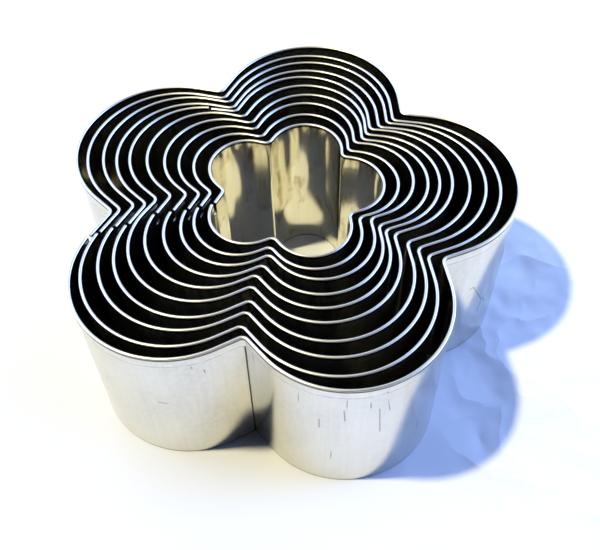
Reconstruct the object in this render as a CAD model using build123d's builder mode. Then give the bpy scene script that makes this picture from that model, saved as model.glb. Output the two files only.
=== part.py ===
from build123d import *
import math
import os

# A nest of flower cutters for pastry.  Each cutter is one strip of stainless steel sheet, folded
# outwards along its top edge, bent into a five-petalled outline and closed by a welded lap.
# The cutters stand inside one another on their cutting edges, each a step smaller than the last.
# Millimetres and degrees.  Z is up, the cutting edges are at Z = 0, and the origin is below the
# middle of the largest cutter's bounding box.  The largest cutter's seam is on the -X side.

os.makedirs("parts", exist_ok=True)

# the strip
height = 46.0
sheet = 0.4             # thickness of the steel
fold_depth = 3.3        # how far the folded edge reaches down the outside

# the set
cutter_count = 10
smallest_tip = 23.5     # from the middle of the smallest flower to its rim at a petal's tip
nest_gap = 3.2          # between one cutter's wall and the next one's rim at a petal's tip
clearance = 0.3         # least room left between two cutters where one leans on the other

# the outline, the same shape for every cutter, measured on the outer face of the single sheet
petal_count = 5
petal_fullness = 1.182  # a petal's radius over half the distance between two petals' middles
flank_lean = 51.2       # between a petal's straight flank and the line down the middle of its valley
valley_bend = 1.6       # radius of the bend where two flanks meet

# the seam, beside the first valley, where the strip's first end lies on the outside of its last
seam_land = 0.4         # from the end of the last flank to the end of the strip
fold_gap = 0.9          # between the two ends of the fold
lap_length = 5.5        # how far the first end of the strip runs back along the last flank
lap_drop = 0.5          # how far below the fold the lap stays

# How the nest lies, from the largest cutter inwards.  Each cutter leans on the one around it:
# how far, as a share of the play between them, in which direction, and how far it is twisted,
# as a share of that play at its tips.  The last number is how many petals its seam lies away
# from the seam of the others.
seam_side = 180.0
nest = [
    (0.00, 0.0, 0.00, 0),
    (1.00, 189.0, -0.73, 0),
    (1.38, 61.0, -0.11, 0),
    (0.40, 85.0, 0.30, 0),
    (1.63, 98.0, -0.09, 4),
    (1.00, 17.0, -0.88, 0),
    (1.31, 357.0, -0.14, 0),
    (0.68, 37.0, 0.88, 0),
    (0.71, 269.0, -1.11, 0),
    (0.47, 4.0, -0.59, 0),
]

tip_step = nest_gap + 2 * sheet
petal_turn = 360.0 / petal_count
half_turn = math.radians(petal_turn / 2)
lean = math.radians(flank_lean)


def point_at(distance, direction, middle=(0.0, 0.0)):
    """The point at a distance and direction from another."""
    angle = math.radians(direction)
    return (middle[0] + distance * math.cos(angle), middle[1] + distance * math.sin(angle))


def petal_radius_of(tip):
    """Radius of a petal whose tip is this far from the middle of the flower."""
    spread = petal_fullness * math.sin(half_turn)
    return tip * spread / (1 + spread)


def corner_distance(tip):
    """From the middle of the flower to the corner where two flanks would meet."""
    radius = petal_radius_of(tip)
    along = (tip - radius) * math.cos(half_turn)
    across = (tip - radius) * math.sin(half_turn)
    return along + (radius - across * math.cos(lean)) / math.sin(lean)


def bend_radius_of(tip):
    """Radius of the bend in a valley, as large as the flanks beside it leave room for."""
    radius = petal_radius_of(tip)
    along = (tip - radius) * math.cos(half_turn) - corner_distance(tip)
    across = (tip - radius) * math.sin(half_turn)
    flank_length = along * math.cos(lean) + across * math.sin(lean)
    return min(valley_bend, 0.8 * flank_length * math.tan(lean))


def lapped_lean(tip):
    """Lean of the last flank, which runs from its valley to the inside of the strip's first end."""
    radius = petal_radius_of(tip)
    bend = bend_radius_of(tip)
    petal_middle = point_at(tip - radius, petal_turn / 2)
    bend_middle = (corner_distance(tip) + bend / math.sin(lean), 0.0)
    away = math.dist(petal_middle, bend_middle)
    towards = math.degrees(math.atan2(petal_middle[1], petal_middle[0] - bend_middle[0]))
    return towards - math.degrees(math.asin((bend + radius - sheet) / away))


def lap_run(tip):
    """How far the lap runs along the last flank, as far as the bend in the valley lets it."""
    radius = petal_radius_of(tip)
    bend = bend_radius_of(tip)
    petal_middle = point_at(tip - radius, petal_turn / 2)
    bend_middle = (corner_distance(tip) + bend / math.sin(lean), 0.0)
    flank_length = math.sqrt(
        math.dist(petal_middle, bend_middle) ** 2 - (bend + radius - sheet) ** 2
    )
    return min(lap_length, flank_length)


def draw_side(tip, offset, start, stop):
    """Draw one side of the bent strip, from the first petal round to the seam inside it.

    The offset is the distance outwards from the outer face of the single sheet.  The ends are
    directions from the first petal's middle, with the first valley on the X axis.  Returns the
    two end points.
    """
    radius = petal_radius_of(tip)
    bend = bend_radius_of(tip)
    bend_distance = corner_distance(tip) + bend / math.sin(lean)
    half_petal = 90 - flank_lean + petal_turn / 2
    first_point = None
    for petal in range(petal_count):
        tip_direction = petal_turn * (petal + 0.5)
        petal_middle = point_at(tip - radius, tip_direction)
        arc_start = start if petal == 0 else tip_direction - half_petal
        petal_arc = CenterArc(
            petal_middle, radius + offset, arc_start, tip_direction + half_petal - arc_start
        )
        if first_point is None:
            first_point = petal_arc @ 0
        else:
            Line(valley_arc @ 1, petal_arc @ 0)
        valley_direction = petal_turn * (petal + 1)
        lean_after = flank_lean if petal < petal_count - 1 else lapped_lean(tip)
        valley_arc = CenterArc(
            point_at(bend_distance, valley_direction),
            bend - offset,
            valley_direction + 270 - flank_lean,
            flank_lean + lean_after - 180,
        )
        Line(petal_arc @ 1, valley_arc @ 0)
    last_arc = CenterArc(
        point_at(tip - radius, petal_turn / 2),
        radius - sheet + offset,
        lean_after - 90,
        stop - lean_after + 90,
    )
    Line(valley_arc @ 1, last_arc @ 0)
    return first_point, last_arc @ 1


def draw_strip(tip, inner_offset, outer_offset, start, stop):
    """Draw the closed outline of the bent strip between two offsets."""
    outer_first, outer_last = draw_side(tip, outer_offset, start, stop)
    inner_first, inner_last = draw_side(tip, inner_offset, start, stop)
    Line(outer_first, inner_first)
    Line(outer_last, inner_last)


def draw_lap(tip, start):
    """Draw the outline of the lap, from the first end's direction back along the last flank."""
    radius = petal_radius_of(tip)
    petal_middle = point_at(tip - radius, petal_turn / 2)
    flank_lean_here = lapped_lean(tip)
    flank_end = flank_lean_here - 90
    inner = CenterArc(petal_middle, radius - sheet, flank_end, start - flank_end)
    outer = CenterArc(petal_middle, radius, flank_end, start - flank_end)
    inner_corner = point_at(lap_run(tip), flank_lean_here + 180, tuple(inner @ 0)[:2])
    outer_corner = point_at(lap_run(tip), flank_lean_here + 180, tuple(outer @ 0)[:2])
    Line(inner @ 0, inner_corner)
    Line(inner_corner, outer_corner)
    Line(outer_corner, outer @ 0)
    Line(outer @ 1, inner @ 1)


def places_in_nest():
    """Tip distance, middle and turn of every cutter, each leaning on the one around it."""
    play = corner_distance(tip_step) * math.sin(lean) - 3 * sheet - clearance
    tip = smallest_tip + tip_step * (cutter_count - 1)
    reach = tip - petal_radius_of(tip)
    petal_middles = [point_at(reach, seam_side + petal_turn * (n + 0.5)) for n in range(petal_count)]
    x = -(max(p[0] for p in petal_middles) + min(p[0] for p in petal_middles)) / 2
    y = -(max(p[1] for p in petal_middles) + min(p[1] for p in petal_middles)) / 2
    turn = seam_side
    places = []
    for number in range(cutter_count):
        share, direction, twist, seam_petals = nest[number % len(nest)]
        x, y = point_at(share * play, direction, (x, y))
        turn += math.degrees(twist * play / tip)
        places.append((tip, x, y, turn + petal_turn * seam_petals))
        tip -= tip_step
    return places


for number, (tip, x, y, turn) in enumerate(places_in_nest(), start=1):
    name = f"cutter_{number:02d}"
    radius = petal_radius_of(tip)
    half_gap = math.degrees(fold_gap / 2 / radius)
    seam = lapped_lean(tip) - 90 + math.degrees(seam_land / radius) + half_gap
    ground = Plane(origin=(x, y, 0), x_dir=point_at(1, turn) + (0,), z_dir=(0, 0, 1))

    with BuildPart() as cutter:
        # the wall, from one end of the fold to the other
        with BuildSketch(ground):
            with BuildLine():
                draw_strip(tip, -sheet, 0, seam + half_gap, seam - half_gap)
            make_face()
        extrude(amount=height)

        # the top edge of the sheet, folded over and pressed flat against the outside
        with BuildSketch(ground.offset(height - fold_depth)):
            with BuildLine():
                draw_strip(tip, 0, sheet, seam + half_gap, seam - half_gap)
            make_face()
        extrude(amount=fold_depth)

        # the lap: below the fold, the first end of the strip is welded to the outside of the last
        with BuildSketch(ground):
            with BuildLine():
                draw_lap(tip, seam + half_gap)
            make_face()
        extrude(amount=height - fold_depth - lap_drop)

    cutter.part.label = name
    export_step(cutter.part, f"parts/{name}.step")
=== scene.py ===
import bmesh
import bpy
import math
import mathutils
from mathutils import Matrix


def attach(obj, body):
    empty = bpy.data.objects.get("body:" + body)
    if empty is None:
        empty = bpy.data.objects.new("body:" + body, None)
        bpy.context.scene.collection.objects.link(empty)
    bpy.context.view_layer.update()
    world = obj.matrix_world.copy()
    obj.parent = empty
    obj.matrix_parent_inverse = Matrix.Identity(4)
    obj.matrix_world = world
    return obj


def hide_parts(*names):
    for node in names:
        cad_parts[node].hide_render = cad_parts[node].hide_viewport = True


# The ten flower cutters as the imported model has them.  Each one is replaced below by a cutter of
# the same size in the same place, with a rounded fold, welds and worn steel.
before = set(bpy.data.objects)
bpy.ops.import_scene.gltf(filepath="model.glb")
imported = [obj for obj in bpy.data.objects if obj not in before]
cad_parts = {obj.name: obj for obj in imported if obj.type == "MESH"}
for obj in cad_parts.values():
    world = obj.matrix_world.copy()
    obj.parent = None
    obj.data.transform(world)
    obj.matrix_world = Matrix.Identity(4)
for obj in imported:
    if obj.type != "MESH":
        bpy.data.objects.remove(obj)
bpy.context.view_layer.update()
scene = bpy.context.scene
mm = 0.001


# ---------------------------------------------------------------------------------------------
# The strip that each cutter is bent from: stainless sheet, cut to length, its top edge folded
# over outwards and pressed flat, so that no hand meets a sharp edge.  The bottom edge stays as
# it was sheared and does the cutting.

height = 46.0 * mm
sheet = 0.4 * mm
fold_depth = 3.3 * mm
bead_drop = 0.9 * mm        # how far below the rim the bend of the fold passes into the flat hem
hem_step = 0.05 * mm        # how much closer to the wall the hem lies than the bend above it
burr = 0.05 * mm            # the broken corners of the sheared edges
crease_top = 41.9 * mm      # below this the bends in the valleys are creased
bead_steps = 12


def draw_on(section, steps):
    """Draw on from the last vertex of a section, by steps across and up."""
    section.verts.ensure_lookup_table()
    pen = section.verts[-1]
    for across, up in steps:
        drawn = bmesh.ops.extrude_vert_indiv(section, verts=[pen])
        pen = drawn["verts"][0]
        bmesh.ops.translate(section, verts=[pen], vec=(across, 0, up))
    return pen


def draw_section(place, folded, top):
    """A new mesh with the strip's section in it, upright at a place, outwards along X."""
    section = bmesh.new()
    bmesh.ops.create_vert(section, co=(place - sheet + burr, 0, 0))
    pen = draw_on(section, [(-burr, burr)] + 2 * [(0, (crease_top - burr) / 2)])
    pen = draw_on(section, [(0, top - crease_top)])
    if folded:
        bend = bmesh.ops.spin(
            section,
            geom=[pen],
            cent=(place, 0, top),
            axis=(0, 1, 0),
            angle=math.pi,
            steps=bead_steps,
        )
        pen = [part for part in bend["geom_last"] if isinstance(part, bmesh.types.BMVert)][0]
        hem = fold_depth - bead_drop - burr
        pen = draw_on(section, [(0, sheet - bead_drop / 2), (-hem_step, -bead_drop / 2)])
        pen = draw_on(section, [(0, -hem), (-burr, -burr), (hem_step + burr - sheet, 0)])
        top = height - fold_depth
    else:
        pen = draw_on(section, [(burr, burr), (sheet - 2 * burr, 0), (burr, -burr)])
    pen = draw_on(section, [(0, crease_top - top)] + 2 * [(0, -(crease_top - burr) / 2)])
    pen = draw_on(section, [(-burr, -burr)])
    section.verts.ensure_lookup_table()
    section.edges.new((pen, section.verts[0]))
    section.verts.layers.float.new("crease")
    inner_side = section.verts.layers.float.new("inner_side")
    for vert in section.verts:
        vert[inner_side] = 1.0 if vert.co.x < place - 0.9 * sheet else 0.0
    return section


# ---------------------------------------------------------------------------------------------
# The outline that the strip is bent to: five round petals with straight flanks, and a tight bend
# in the valley between two of them.  Every cutter has the same outline, a step smaller than the
# one around it.

petal_count = 5
petal_fullness = 1.182      # a petal's radius over half the distance between two petals' middles
flank_lean = 51.2           # degrees between a petal's flank and the middle of its valley
valley_bend = 1.6 * mm      # radius of the bend in a valley, at the fold
crease_bend = 0.35 * mm     # and below the fold
pressed_within = 50         # degrees from a valley's middle, as far as its bend is pressed in
shaded_crease_within = 32           # and as far as its crease is painted dark as shade
petal_turn = 360.0 / petal_count
half_petal = 90 - flank_lean + petal_turn / 2
half_turn = math.radians(petal_turn / 2)
lean = math.radians(flank_lean)
petal_steps = 44
flank_steps = 4
valley_steps = 8
seam_steps = 2


def point_at(distance, direction, middle=(0.0, 0.0)):
    """The point at a distance and a direction in degrees from another."""
    angle = math.radians(direction)
    return (middle[0] + distance * math.cos(angle), middle[1] + distance * math.sin(angle))


def petal_radius_of(tip):
    """Radius of a petal whose tip is this far from the middle of the flower."""
    spread = petal_fullness * math.sin(half_turn)
    return tip * spread / (1 + spread)


def corner_distance(tip):
    """From the middle of the flower to the corner where two flanks would meet."""
    radius = petal_radius_of(tip)
    along = (tip - radius) * math.cos(half_turn)
    across = (tip - radius) * math.sin(half_turn)
    return along + (radius - across * math.cos(lean)) / math.sin(lean)


def bend_place(tip, direction):
    """Where the middle of a valley's bend lies."""
    return point_at(corner_distance(tip) + valley_bend / math.sin(lean), direction)


def lapped_lean(tip):
    """Lean of the last flank, which runs from its valley to the inside of the strip's first end."""
    radius = petal_radius_of(tip)
    petal_middle = point_at(tip - radius, petal_turn / 2)
    bend_middle = bend_place(tip, 0)
    away = math.dist(petal_middle, bend_middle)
    towards = math.degrees(math.atan2(petal_middle[1], petal_middle[0] - bend_middle[0]))
    return towards - math.degrees(math.asin((valley_bend + radius - sheet) / away))


def bend(strip, end, middle, degrees, steps):
    """Carry the open end of a strip round an upright line, and return its new end."""
    return bmesh.ops.spin(
        strip, geom=end, cent=(*middle, 0), axis=(0, 0, 1), angle=math.radians(degrees), steps=steps
    )["geom_last"]


def run_straight(strip, end, start, stop, steps):
    """Carry the open end of a strip straight from one point to another."""
    step = ((stop[0] - start[0]) / steps, (stop[1] - start[1]) / steps, 0)
    return bmesh.ops.spin(
        strip, geom=end, cent=(0, 0, 0), axis=(0, 0, 1), dvec=step, angle=0, steps=steps
    )["geom_last"]


def start_strip(radius, middle, direction, folded, top):
    """A new strip whose section stands on a petal's arc, ready to be bent on."""
    strip = draw_section(radius, folded, top)
    turned = mathutils.Matrix.Rotation(math.radians(direction), 4, "Z")
    bmesh.ops.transform(strip, matrix=turned, verts=strip.verts)
    bmesh.ops.translate(strip, verts=strip.verts, vec=(*middle, 0))
    return strip


def crease_valley(strip, tip, direction):
    """Below the fold, press the round bend in a valley to a crease, and mark its middle for painted
    shade.
    """
    place = mathutils.Vector((*bend_place(tip, direction), 0))
    inwards = -mathutils.Vector((*point_at(1, direction), 0))
    spare = valley_bend - crease_bend
    crease = strip.verts.layers.float["crease"]
    for vert in strip.verts:
        away = mathutils.Vector((vert.co.x, vert.co.y, 0)) - place
        if away.length > valley_bend + 1.2 * sheet or vert.co.z > crease_top + burr:
            continue
        turned = math.degrees(away.angle(inwards))
        if turned < pressed_within:
            vert.co += inwards * spare / math.sin(lean) - away.normalized() * spare
        # the middle of the crease gets painted shade
        if turned < shaded_crease_within:
            vert[crease] = 1.0


def close_ends(strip):
    """Close the two open ends of a strip."""
    open_edges = [edge for edge in strip.edges if len(edge.link_faces) == 1]
    bmesh.ops.edgeloop_fill(strip, edges=open_edges)


def bend_flower(tip, start, stop):
    """Bend a folded strip into a flower, from a direction on the first petal round to its seam."""
    radius = petal_radius_of(tip)
    first_middle = point_at(tip - radius, petal_turn / 2)
    strip = start_strip(radius, first_middle, start, folded=True, top=height - sheet)
    end = strip.verts[:] + strip.edges[:]
    for petal in range(petal_count):
        tip_direction = petal_turn * (petal + 0.5)
        petal_middle = point_at(tip - radius, tip_direction)
        arc_start = start if petal == 0 else tip_direction - half_petal
        arc_stop = tip_direction + half_petal
        end = bend(strip, end, petal_middle, arc_stop - arc_start, petal_steps)

        valley_direction = petal_turn * (petal + 1)
        bend_middle = bend_place(tip, valley_direction)
        lean_after = flank_lean if petal < petal_count - 1 else lapped_lean(tip)
        last_point = point_at(radius, arc_stop, petal_middle)
        next_point = point_at(valley_bend, valley_direction + 270 - flank_lean, bend_middle)
        end = run_straight(strip, end, last_point, next_point, flank_steps)
        end = bend(strip, end, bend_middle, flank_lean + lean_after - 180, valley_steps)

        last_point = point_at(valley_bend, valley_direction + 90 + lean_after, bend_middle)
        if petal < petal_count - 1:
            next_middle = point_at(tip - radius, tip_direction + petal_turn)
            next_point = point_at(radius, tip_direction + petal_turn - half_petal, next_middle)
        else:
            next_point = point_at(radius - sheet, lean_after - 90, first_middle)
        end = run_straight(strip, end, last_point, next_point, flank_steps)
    bend(strip, end, first_middle, stop - lean_after + 90, seam_steps)
    for petal in range(petal_count):
        crease_valley(strip, tip, petal_turn * petal)
    close_ends(strip)
    return strip


# ---------------------------------------------------------------------------------------------
# The seam that closes each flower: below the fold, the strip's first end lies on the outside of
# the last flank, to which it is spot welded.  From inside, only the small spots of the welds show,
# where the sheet swells a little.

seam_land = 0.4 * mm        # from the end of the last flank to the end of the strip
fold_gap = 0.9 * mm         # between the two ends of the fold
lap_length = 5.5 * mm
lap_drop = 0.5 * mm         # how far below the fold the lap stays
weld_radius = 0.55 * mm
weld_swell = 0.09 * mm
weld_heights = (4.0 * mm, 14.5 * mm, 26.0 * mm, 37.5 * mm)
weld_share = 0.55           # how far back along the lap the welds are


def lap_run(tip):
    """How far the lap runs along the last flank, as far as the bend in the valley lets it."""
    radius = petal_radius_of(tip)
    petal_middle = point_at(tip - radius, petal_turn / 2)
    away = math.dist(petal_middle, bend_place(tip, 0))
    return min(lap_length, math.sqrt(away ** 2 - (valley_bend + radius - sheet) ** 2))


def add_lap(strip, tip, start):
    """Add the lap, from the first end's direction on the petal back along the last flank."""
    radius = petal_radius_of(tip)
    petal_middle = point_at(tip - radius, petal_turn / 2)
    last_lean = lapped_lean(tip)
    flank_end = last_lean - 90
    lap_top = height - fold_depth - lap_drop
    lap = start_strip(radius, petal_middle, start, folded=False, top=lap_top)
    end = bend(lap, lap.verts[:] + lap.edges[:], petal_middle, flank_end - start, seam_steps)
    corner = point_at(radius, flank_end, petal_middle)
    lap_end = point_at(lap_run(tip), last_lean + 180, corner)
    run_straight(lap, end, corner, lap_end, seam_steps)
    close_ends(lap)
    for weld_height in weld_heights:
        spot = point_at(weld_share * lap_run(tip), last_lean + 180, corner)
        x, y = point_at(2 * sheet, flank_end + 180, spot)
        weld = bmesh.ops.create_icosphere(lap, subdivisions=3, radius=weld_radius)["verts"]
        flat = mathutils.Matrix.Diagonal((weld_swell / weld_radius, 1, 1, 1))
        turned = mathutils.Matrix.Rotation(math.radians(flank_end), 4, "Z")
        bmesh.ops.transform(lap, matrix=turned @ flat, verts=weld)
        bmesh.ops.translate(lap, verts=weld, vec=(x, y, weld_height))
    lap_mesh = bpy.data.meshes.new("lap")
    lap.to_mesh(lap_mesh)
    strip.from_mesh(lap_mesh)
    bpy.data.meshes.remove(lap_mesh)


# ---------------------------------------------------------------------------------------------
# The steel: rolled stainless sheet, almost a mirror on the inside, where it is stained, and dulled
# by handling on the outside, with faint upright rubbing marks, short and deep scratches, painted
# shade under the fold and the hem, at the foot and in the creases, and a coarser, rubbed rim with a
# painted highlight.

steel = bpy.data.materials.new("satin_steel")
steel.use_nodes = True
nodes = steel.node_tree.nodes
links = steel.node_tree.links
shader = nodes["Principled BSDF"]
shader.inputs["Metallic"].default_value = 1.0
where = nodes.new("ShaderNodeTexCoord")


def add_noise(size, upright, detail, lowest, highest):
    """Noise from 0 to 1 with marks of a size in metres, drawn out upright by a factor."""
    stretch = nodes.new("ShaderNodeMapping")
    stretch.inputs["Scale"].default_value = (1.0, 1.0, 1.0 / upright)
    links.new(where.outputs["Object"], stretch.inputs["Vector"])
    noise = nodes.new("ShaderNodeTexNoise")
    noise.inputs["Scale"].default_value = 1.0 / size
    noise.inputs["Detail"].default_value = detail
    links.new(stretch.outputs["Vector"], noise.inputs["Vector"])
    spread = nodes.new("ShaderNodeMapRange")
    spread.inputs["From Min"].default_value = lowest
    spread.inputs["From Max"].default_value = highest
    links.new(noise.outputs["Fac"], spread.inputs["Value"])
    return spread.outputs["Result"]


def add_marks(size, upright, share):
    """Sparse upright marks: 1 on a mark, 0 between them, on a share of the places."""
    stretch = nodes.new("ShaderNodeMapping")
    stretch.inputs["Scale"].default_value = (1.0, 1.0, 1.0 / upright)
    links.new(where.outputs["Object"], stretch.inputs["Vector"])
    cells = nodes.new("ShaderNodeTexVoronoi")
    cells.inputs["Scale"].default_value = share / size
    links.new(stretch.outputs["Vector"], cells.inputs["Vector"])
    near = nodes.new("ShaderNodeMapRange")
    near.inputs["From Min"].default_value = 0.5 * share
    near.inputs["From Max"].default_value = 0.25 * share
    links.new(cells.outputs["Distance"], near.inputs["Value"])
    return near.outputs["Result"]


def calculate_vector(operation, first, second):
    """A Vector Math node on two vectors, each a value or a socket."""
    node = nodes.new("ShaderNodeVectorMath")
    node.operation = operation
    for socket, value in zip(node.inputs, (first, second)):
        if isinstance(value, bpy.types.NodeSocket):
            links.new(value, socket)
        else:
            socket.default_value = value
    return node


def add_stroke(start, end, width):
    """One deep scratch, drawn straight between two places in mm: 1 on it and 0 beside it."""
    start = mathutils.Vector(start) * mm
    run = mathutils.Vector(end) * mm - start
    from_start = calculate_vector("SUBTRACT", where.outputs["Object"], start).outputs["Vector"]
    share = calculate_vector("DOT_PRODUCT", from_start, run / run.length_squared)
    on_run = nodes.new("ShaderNodeClamp")
    links.new(share.outputs["Value"], on_run.inputs["Value"])
    nearest = calculate_vector("SCALE", run, (0, 0, 0))
    links.new(on_run.outputs["Result"], nearest.inputs["Scale"])
    away = calculate_vector("DISTANCE", from_start, nearest.outputs["Vector"])
    near = nodes.new("ShaderNodeMapRange")
    near.inputs["From Min"].default_value = width
    near.inputs["From Max"].default_value = 0.3 * width
    links.new(away.outputs["Value"], near.inputs["Value"])
    return near.outputs["Result"]


def blend(amount, low, high):
    """A value between two, each a number or a socket, by an amount from 0 to 1."""
    mix = nodes.new("ShaderNodeMix")
    mix.data_type = "FLOAT"
    links.new(amount, mix.inputs["Factor"])
    for socket, value in ((mix.inputs["A"], low), (mix.inputs["B"], high)):
        if isinstance(value, float):
            socket.default_value = value
        else:
            links.new(value, socket)
    return mix.outputs["Result"]


def blend_colour(amount, low, high):
    """A colour between two, each a value or a socket, by an amount from 0 to 1."""
    mix = nodes.new("ShaderNodeMix")
    mix.data_type = "RGBA"
    links.new(amount, mix.inputs["Factor"])
    for socket, value in ((mix.inputs["A"], low), (mix.inputs["B"], high)):
        if isinstance(value, tuple):
            socket.default_value = value
        else:
            links.new(value, socket)
    return mix.outputs["Result"]


def add_band(low, high, soft=0.12 * mm):
    """1 between two heights and 0 above and below, with soft borders."""
    heights = []
    for full, none in ((low, low - soft), (high, high + soft)):
        border = nodes.new("ShaderNodeMapRange")
        border.inputs["From Min"].default_value = none
        border.inputs["From Max"].default_value = full
        links.new(split.outputs["Z"], border.inputs["Value"])
        heights.append(border.outputs["Result"])
    return blend(heights[0], 0.0, heights[1])


inner_side = nodes.new("ShaderNodeAttribute")
inner_side.attribute_name = "inner_side"
on_inside = inner_side.outputs["Fac"]
split = nodes.new("ShaderNodeSeparateXYZ")
links.new(where.outputs["Object"], split.inputs["Vector"])

# where the painted shade lines run, and the rubbed rim with its painted highlight
crease_shade_mark = nodes.new("ShaderNodeAttribute")
crease_shade_mark.attribute_name = "crease"
painted_crease_shade = blend(on_inside, crease_shade_mark.outputs["Fac"], 0.0)
rubbed_rim_and_highlight = add_band(height - 0.12 * mm, height)
painted_fold_shade = add_band(height - 0.85 * mm, height - 0.32 * mm)
hem_top = height - fold_depth
painted_hem_shade = blend(on_inside, add_band(hem_top - 0.4 * mm, hem_top + 0.1 * mm), 0.0)
hem_band = blend(on_inside, add_band(hem_top + 0.1 * mm, height - 0.9 * mm), 0.0)
painted_foot_shade = add_band(-0.1 * mm, 0.35 * mm)

# what rolling, rubbing, washing and use have left all over the sheet
clouds = add_noise(size=0.016, upright=1.5, detail=4.0, lowest=0.35, highest=0.68)
rubbing = add_noise(size=0.0009, upright=18.0, detail=4.0, lowest=0.38, highest=0.72)
speckle = add_noise(size=0.0012, upright=1.0, detail=5.0, lowest=0.3, highest=0.75)
scratches = add_marks(size=0.0003, upright=20.0, share=0.12)
stains = add_noise(size=0.004, upright=2.5, detail=6.0, lowest=0.55, highest=0.66)
drawn = add_noise(size=0.005, upright=0.07, detail=3.0, lowest=0.5, highest=0.72)

# the deep scratches on the largest cutter: five upright ones in front, a cross on the right and
# three nicks on the left
deep_scratches = [
    ((12.7, -57.6, 43.3), (14.0, -56.9, 33.7)),
    ((3.5, -57.5, 36.7), (3.8, -57.5, 32.0)),
    ((-1.8, -55.9, 31.3), (-1.8, -55.9, 27.4)),
    ((11.5, -57.4, 35.7), (12.2, -57.3, 24.7)),
    ((9.3, -57.7, 39.5), (9.4, -57.7, 37.2)),
    ((41.5, -22.4, 27.5), (42.5, -21.9, 27.9)),
    ((42.5, -21.9, 27.9), (46.6, -19.4, 18.6)),
    ((50.2, -16.0, 19.9), (47.7, -18.4, 18.4)),
    ((47.7, -18.4, 18.4), (46.6, -19.3, 18.2)),
    ((47.2, -18.9, 18.2), (48.6, -17.6, 15.2)),
    ((46.6, -19.3, 18.2), (46.1, -19.7, 13.4)),
    ((-38.7, -44.0, 26.0), (-36.6, -44.5, 25.7)),
    ((-29.0, -44.9, 41.3), (-28.9, -44.9, 40.6)),
    ((-26.4, -44.4, 38.8), (-26.3, -44.4, 37.6)),
]
deep = 0.0
for start, end in deep_scratches:
    deep = blend(add_stroke(start, end, width=0.24 * mm), deep, 1.0)

# one colour over the other: the sheet, its stains and streaks, its wear, its painted shade lines and
# the painted highlight on its rim
outer_colour = blend_colour(clouds, (0.66, 0.66, 0.64, 1), (0.80, 0.80, 0.775, 1))
outer_colour = blend_colour(blend(speckle, 0.0, 0.6), outer_colour, (0.84, 0.84, 0.825, 1))
outer_colour = blend_colour(blend(hem_band, 0.0, drawn), outer_colour, (0.88, 0.88, 0.86, 1))
inner_colour = blend_colour(blend(stains, 0.0, 0.7), (0.94, 0.92, 0.81, 1), (0.47, 0.34, 0.16, 1))
side_colour = blend_colour(on_inside, outer_colour, inner_colour)
side_colour = blend_colour(blend(rubbing, 0.0, 0.13), side_colour, (0.45, 0.45, 0.44, 1))
side_colour = blend_colour(scratches, side_colour, (0.24, 0.24, 0.22, 1))
side_colour = blend_colour(blend(deep, 0.0, 0.7), side_colour, (0.16, 0.16, 0.15, 1))
# painted shade in the groove under the rolled fold, on both sides
side_colour = blend_colour(blend(painted_fold_shade, 0.0, 0.9), side_colour, (0.03, 0.03, 0.03, 1))
# painted shade along the lower edge of the hem, on the outside, broken up by the speckle
broken = blend(speckle, 1.0, 0.3)
side_colour = blend_colour(blend(painted_hem_shade, 0.0, broken), side_colour, (0.03, 0.03, 0.03, 1))
# painted contact shade along the foot, where the wall meets the paper, on both sides
side_colour = blend_colour(blend(painted_foot_shade, 0.0, 0.8), side_colour, (0.10, 0.10, 0.09, 1))
# painted shade in the creases of the valleys, on the outside
side_colour = blend_colour(painted_crease_shade, side_colour, (0.03, 0.025, 0.02, 1))
# a painted highlight: the top of the rim is painted bright and warm (its rubbing shows in the
# roughness below)
steel_colour = blend_colour(rubbed_rim_and_highlight, side_colour, (0.95, 0.89, 0.76, 1))

# darker where it throws light back on the paper, so that the shade in the smallest flower is deep
steel_path = nodes.new("ShaderNodeLightPath")
thrown = steel_path.outputs["Is Diffuse Ray"]
links.new(blend_colour(thrown, steel_colour, (0.35, 0.35, 0.35, 1)), shader.inputs["Base Color"])

outer_roughness = blend(clouds, 0.15, 0.22)
side_roughness = blend(on_inside, outer_roughness, 0.11)
rubbed_roughness = blend(rubbing, side_roughness, 0.15)
links.new(blend(rubbed_rim_and_highlight, rubbed_roughness, 0.4), shader.inputs["Roughness"])

grain = nodes.new("ShaderNodeBump")
grain.inputs["Strength"].default_value = 0.25
grain.inputs["Distance"].default_value = 0.01 * mm
links.new(rubbing, grain.inputs["Height"])
links.new(grain.outputs["Normal"], shader.inputs["Normal"])


# ---------------------------------------------------------------------------------------------
# The nest: the cutters stand inside one another on their cutting edges, and each leans on the
# one around it.  A share of the play between two of them, a direction and a twist place each.

cutter_count = 10
smallest_tip = 23.5 * mm
tip_step = 4.0 * mm
clearance = 0.3 * mm
seam_side = 180.0
nest = [
    (0.00, 0.0, 0.00, 0),
    (1.00, 189.0, -0.73, 0),
    (1.38, 61.0, -0.11, 0),
    (0.40, 85.0, 0.30, 0),
    (1.63, 98.0, -0.09, 4),
    (1.00, 17.0, -0.88, 0),
    (1.31, 357.0, -0.14, 0),
    (0.68, 37.0, 0.88, 0),
    (0.71, 269.0, -1.11, 0),
    (0.47, 4.0, -0.59, 0),
]
play = corner_distance(tip_step) * math.sin(lean) - 3 * sheet - clearance
tip = smallest_tip + tip_step * (cutter_count - 1)
reach = tip - petal_radius_of(tip)
middles = [point_at(reach, seam_side + petal_turn * (n + 0.5)) for n in range(petal_count)]
x = -(max(p[0] for p in middles) + min(p[0] for p in middles)) / 2
y = -(max(p[1] for p in middles) + min(p[1] for p in middles)) / 2
turn = seam_side

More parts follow.
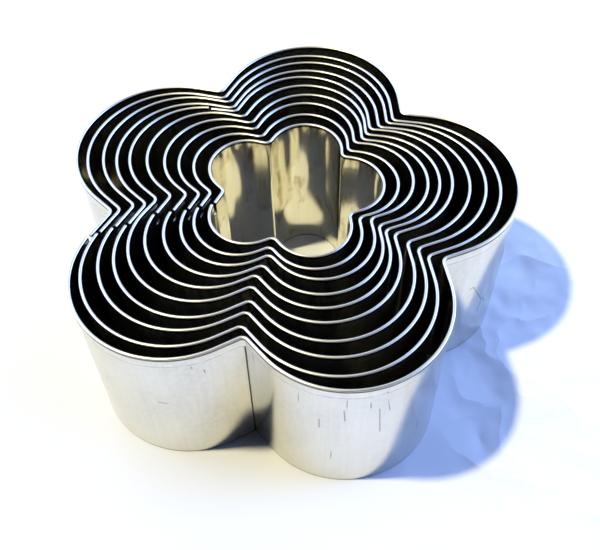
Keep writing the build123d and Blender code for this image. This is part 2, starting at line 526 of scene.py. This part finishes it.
for number in range(1, cutter_count + 1):
    share, direction, twist, seam_petals = nest[number - 1]
    x, y = point_at(share * play, direction, (x, y))
    turn += math.degrees(twist * play / tip)

    radius = petal_radius_of(tip)
    half_gap = math.degrees(fold_gap / 2 / radius)
    seam = lapped_lean(tip) - 90 + math.degrees(seam_land / radius) + half_gap
    strip = bend_flower(tip, seam + half_gap, seam - half_gap)
    add_lap(strip, tip, seam + half_gap)
    bmesh.ops.recalc_face_normals(strip, faces=strip.faces)
    turned = mathutils.Matrix.Rotation(math.radians(turn + petal_turn * seam_petals), 4, "Z")
    bmesh.ops.transform(strip, matrix=turned, verts=strip.verts)
    bmesh.ops.translate(strip, verts=strip.verts, vec=(x, y, 0))

    node = f"cutter_{number:02d}"
    mesh = bpy.data.meshes.new(f"flower_{number:02d}")
    strip.to_mesh(mesh)
    strip.free()
    mesh.shade_smooth()
    mesh.set_sharp_from_angle(angle=math.radians(35))
    mesh.materials.append(steel)
    flower = bpy.data.objects.new(mesh.name, mesh)
    scene.collection.objects.link(flower)
    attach(flower, node)
    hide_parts(node)
    tip -= tip_step


# ---------------------------------------------------------------------------------------------
# The table that the set stands on: a sheet of white paper, crumpled on the right of the set, where
# the shadow falls, and fading into white far from it.  Light that has left the paper once comes
# back weaker from it, which keeps the shade between the petals and in the smallest flower deep.

table_reach = 620.0 * mm    # from its middle to its sides
table_drop = 0.02 * mm      # below the cutting edges, so that no two faces share a plane

floor_mesh = bpy.data.meshes.new("table")
table = bmesh.new()
bmesh.ops.create_grid(table, x_segments=1, y_segments=1, size=table_reach)
bmesh.ops.translate(table, verts=table.verts, vec=(0, 0, -table_drop))
table.to_mesh(floor_mesh)
table.free()
floor = bpy.data.objects.new("table", floor_mesh)
scene.collection.objects.link(floor)

paper = bpy.data.materials.new("white_paper")
paper.use_nodes = True
paper_nodes = paper.node_tree.nodes
paper_links = paper.node_tree.links
paper_shader = paper_nodes["Principled BSDF"]
paper_shader.inputs["Roughness"].default_value = 0.9
paper_shader.inputs["Specular IOR Level"].default_value = 0.1

# its colour, as the camera sees it, and as it gives light back
paper_path = paper_nodes.new("ShaderNodeLightPath")
seen = paper_nodes.new("ShaderNodeMix")
seen.data_type = "RGBA"
seen.inputs["A"].default_value = (0.92, 0.92, 0.90, 1)
seen.inputs["B"].default_value = (0.94, 0.955, 0.99, 1)
paper_links.new(paper_path.outputs["Is Camera Ray"], seen.inputs["Factor"])
weaker = paper_nodes.new("ShaderNodeMix")
weaker.data_type = "RGBA"
weaker.inputs["B"].default_value = (0.18, 0.18, 0.18, 1)
paper_links.new(paper_path.outputs["Diffuse Depth"], weaker.inputs["Factor"])
paper_links.new(seen.outputs["Result"], weaker.inputs["A"])
paper_links.new(weaker.outputs["Result"], paper_shader.inputs["Base Color"])

# its creases: ups and downs in cells with wandering borders, none on the left and all on the right
paper_place = paper_nodes.new("ShaderNodeTexCoord")
wander = paper_nodes.new("ShaderNodeTexNoise")
wander.inputs["Scale"].default_value = 24.0
wander.inputs["Detail"].default_value = 3.0
paper_links.new(paper_place.outputs["Object"], wander.inputs["Vector"])
bent = paper_nodes.new("ShaderNodeMix")
bent.data_type = "VECTOR"
bent.inputs["Factor"].default_value = 0.06
paper_links.new(paper_place.outputs["Object"], bent.inputs["A"])
paper_links.new(wander.outputs["Color"], bent.inputs["B"])
creases = paper_nodes.new("ShaderNodeTexVoronoi")
creases.inputs["Scale"].default_value = 55.0
paper_links.new(bent.outputs["Result"], creases.inputs["Vector"])
ups_and_downs = paper_nodes.new("ShaderNodeMath")
ups_and_downs.operation = "ADD"
paper_links.new(creases.outputs["Distance"], ups_and_downs.inputs[0])
paper_links.new(wander.outputs["Fac"], ups_and_downs.inputs[1])
crumple = paper_nodes.new("ShaderNodeBump")
paper_split = paper_nodes.new("ShaderNodeSeparateXYZ")
paper_links.new(paper_place.outputs["Object"], paper_split.inputs["Vector"])
to_right = paper_nodes.new("ShaderNodeMapRange")
to_right.inputs["From Min"].default_value = 15.0 * mm
to_right.inputs["From Max"].default_value = 60.0 * mm
paper_links.new(paper_split.outputs["X"], to_right.inputs["Value"])
paper_links.new(to_right.outputs["Result"], crumple.inputs["Strength"])
crumple.inputs["Distance"].default_value = 1.3 * mm
paper_links.new(ups_and_downs.outputs[0], crumple.inputs["Height"])
paper_links.new(crumple.outputs["Normal"], paper_shader.inputs["Normal"])

# far from the set it fades out, and the white behind it shows
from_middle = paper_nodes.new("ShaderNodeVectorMath")
from_middle.operation = "LENGTH"
paper_links.new(paper_place.outputs["Object"], from_middle.inputs[0])
fade_out = paper_nodes.new("ShaderNodeMapRange")
fade_out.interpolation_type = "SMOOTHSTEP"
fade_out.inputs["From Min"].default_value = 320.0 * mm
fade_out.inputs["From Max"].default_value = 600.0 * mm
fade_out.inputs["To Min"].default_value = 1.0
fade_out.inputs["To Max"].default_value = 0.0
paper_links.new(from_middle.outputs["Value"], fade_out.inputs["Value"])
paper_links.new(fade_out.outputs["Result"], paper_shader.inputs["Alpha"])

floor_mesh.materials.append(paper)


# ---------------------------------------------------------------------------------------------
# The light: a warm lamp, high on the left, whose shadow falls to the right and which lights the
# whole table evenly.  Soft bluish light comes in low from the right, where it fills the shadow,
# from the left and from behind.

key = bpy.data.lights.new("key", "POINT")
key.energy = 32.5
key.shadow_soft_size = 20.0 * mm
key.color = (1.0, 0.9, 0.55)
key.use_nodes = True
even = key.node_tree.nodes.new("ShaderNodeLightFalloff")
even.inputs["Strength"].default_value = 1.0
key.node_tree.links.new(even.outputs["Constant"], key.node_tree.nodes["Emission"].inputs["Strength"])
key_light = bpy.data.objects.new("key", key)
key_light.location = (-306.0 * mm, -25.0 * mm, 707.0 * mm)
scene.collection.objects.link(key_light)

studio = bpy.data.worlds.new("studio")
scene.world = studio
studio.use_nodes = True
studio_nodes = studio.node_tree.nodes
studio_links = studio.node_tree.links
view_line = studio_nodes.new("ShaderNodeTexCoord")


def calculate(operation, first, second):
    """A Math node of the world on two values, each a number or a socket."""
    node = studio_nodes.new("ShaderNodeMath")
    node.operation = operation
    for socket, value in zip(node.inputs, (first, second)):
        if isinstance(value, float):
            socket.default_value = value
        else:
            studio_links.new(value, socket)
    return node.outputs[0]


def add_glow(round_from_right, above, narrowness, colour):
    """Soft light from one side, which fades away round it."""
    turned = math.radians(round_from_right)
    raised = math.radians(above)
    towards = studio_nodes.new("ShaderNodeVectorMath")
    towards.operation = "DOT_PRODUCT"
    towards.inputs[1].default_value = (
        math.cos(raised) * math.cos(turned),
        math.cos(raised) * math.sin(turned),
        math.sin(raised),
    )
    studio_links.new(view_line.outputs["Generated"], towards.inputs[0])
    off_by = calculate("SUBTRACT", towards.outputs["Value"], 1.0)
    fade = calculate("EXPONENT", calculate("MULTIPLY", off_by, narrowness), 0.0)
    glow = studio_nodes.new("ShaderNodeBackground")
    glow.inputs["Color"].default_value = (*colour, 1)
    studio_links.new(calculate("MULTIPLY", fade, on_paper), glow.inputs["Strength"])
    return glow.outputs[0]


def add_together(first, second):
    """The light of two shaders together."""
    both = studio_nodes.new("ShaderNodeAddShader")
    studio_links.new(first, both.inputs[0])
    studio_links.new(second, both.inputs[1])
    return both.outputs[0]


# the soft light is a little stronger on the paper than in the steel
path = studio_nodes.new("ShaderNodeLightPath")
on_paper = calculate("ADD", calculate("MULTIPLY", path.outputs["Is Diffuse Ray"], 0.25), 1.0)

right_glow = add_glow(0.0, 15.0, 14.0, (3.9, 6.1, 12.8))
far_right_glow = add_glow(50.0, 15.0, 14.0, (2.2, 2.8, 4.6))
left_glow = add_glow(155.0, 15.0, 14.0, (2.6, 3.4, 6.2))
back_glow = add_glow(105.0, 30.0, 20.0, (1.5, 1.9, 2.8))
low_light = add_together(add_together(right_glow, far_right_glow), left_glow)
soft_light = add_together(low_light, back_glow)

# white where the camera looks past the table, and low down all round in the steel as well
white = studio_nodes["Background"]
white.inputs["Color"].default_value = (1, 1, 1, 1)
rise = studio_nodes.new("ShaderNodeSeparateXYZ")
studio_links.new(view_line.outputs["Generated"], rise.inputs[0])
low_down = studio_nodes.new("ShaderNodeMapRange")
low_down.inputs["From Min"].default_value = math.sin(math.radians(8))
low_down.inputs["From Max"].default_value = math.sin(math.radians(3))
studio_links.new(rise.outputs["Z"], low_down.inputs["Value"])
in_steel = calculate("MULTIPLY", path.outputs["Is Glossy Ray"], low_down.outputs["Result"])
straight = calculate("MAXIMUM", path.outputs["Is Camera Ray"], path.outputs["Is Transmission Ray"])
choice = studio_nodes.new("ShaderNodeMixShader")
studio_links.new(calculate("MAXIMUM", straight, in_steel), choice.inputs[0])
studio_links.new(soft_light, choice.inputs[1])
studio_links.new(white.outputs[0], choice.inputs[2])
studio_links.new(choice.outputs[0], studio_nodes["World Output"].inputs["Surface"])


# ---------------------------------------------------------------------------------------------
# The camera, where the photograph was taken from: above the front petals and close to the set,
# looking down at its middle, and turned a little on its own line of sight.

camera_data = bpy.data.cameras.new("camera")
camera_data.lens = 50.0
camera_data.sensor_width = 36.0
camera = bpy.data.objects.new("camera", camera_data)
camera_place = mathutils.Vector((-13.7, -143.0, 200.3)) * mm
looked_at = mathutils.Vector((0.95, 8.85, 0.0)) * mm
camera_roll = -1.46         # degrees
aim = (looked_at - camera_place).to_track_quat("-Z", "Y").to_matrix().to_4x4()
roll = mathutils.Matrix.Rotation(math.radians(camera_roll), 4, "Z")
camera.matrix_world = mathutils.Matrix.Translation(camera_place) @ aim @ roll
camera_data.clip_start = 0.01
scene.collection.objects.link(camera)
scene.camera = camera

scene.view_settings.view_transform = "Standard"
